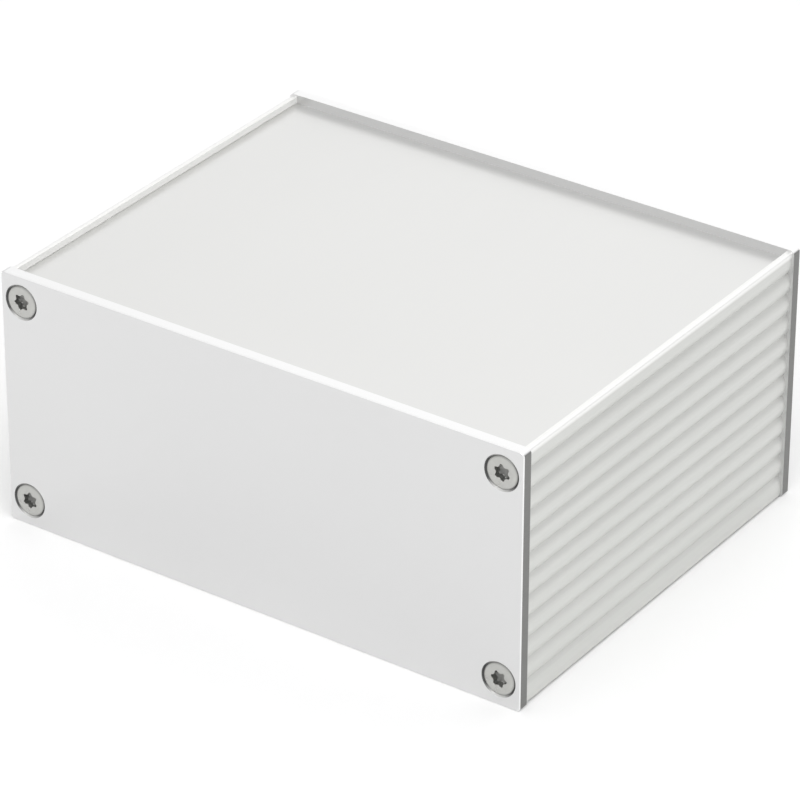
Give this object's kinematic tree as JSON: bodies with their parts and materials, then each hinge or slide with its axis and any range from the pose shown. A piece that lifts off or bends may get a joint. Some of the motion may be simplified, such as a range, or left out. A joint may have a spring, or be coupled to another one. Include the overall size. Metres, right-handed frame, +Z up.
{
  "type": "extruded aluminium enclosure",
  "caption": "Silver anodised aluminium electronics enclosure with ribbed side profiles, slide-in covers and screwed end plates",
  "frame": {"origin": "on the ground under the middle of the box", "axes": "+X to the right across the front plate, +Y from the front plate to the rear plate, +Z up"},
  "size_m": [0.105, 0.084, 0.0484],
  "materials": {
    "profile_aluminium": "natural anodised extrusion, satin",
    "cover_aluminium": "natural anodised sheet, silky",
    "plate_aluminium": "natural anodised plate, satin face and brighter cut edges",
    "screw_steel": "bright steel"
  },
  "bodies": {
    "root": {"bottom_cover": "cover_aluminium", "front_plate": "plate_aluminium", "front_screw_bottom_left": "screw_steel", "front_screw_bottom_right": "screw_steel", "front_screw_top_left": "screw_steel", "front_screw_top_right": "screw_steel", "left_side_profile": "profile_aluminium", "rear_plate": "plate_aluminium", "rear_screw_bottom_left": "screw_steel", "rear_screw_bottom_right": "screw_steel", "rear_screw_top_left": "screw_steel", "rear_screw_top_right": "screw_steel", "right_side_profile": "profile_aluminium", "top_cover": "cover_aluminium"}
  },
  "joints": []
}
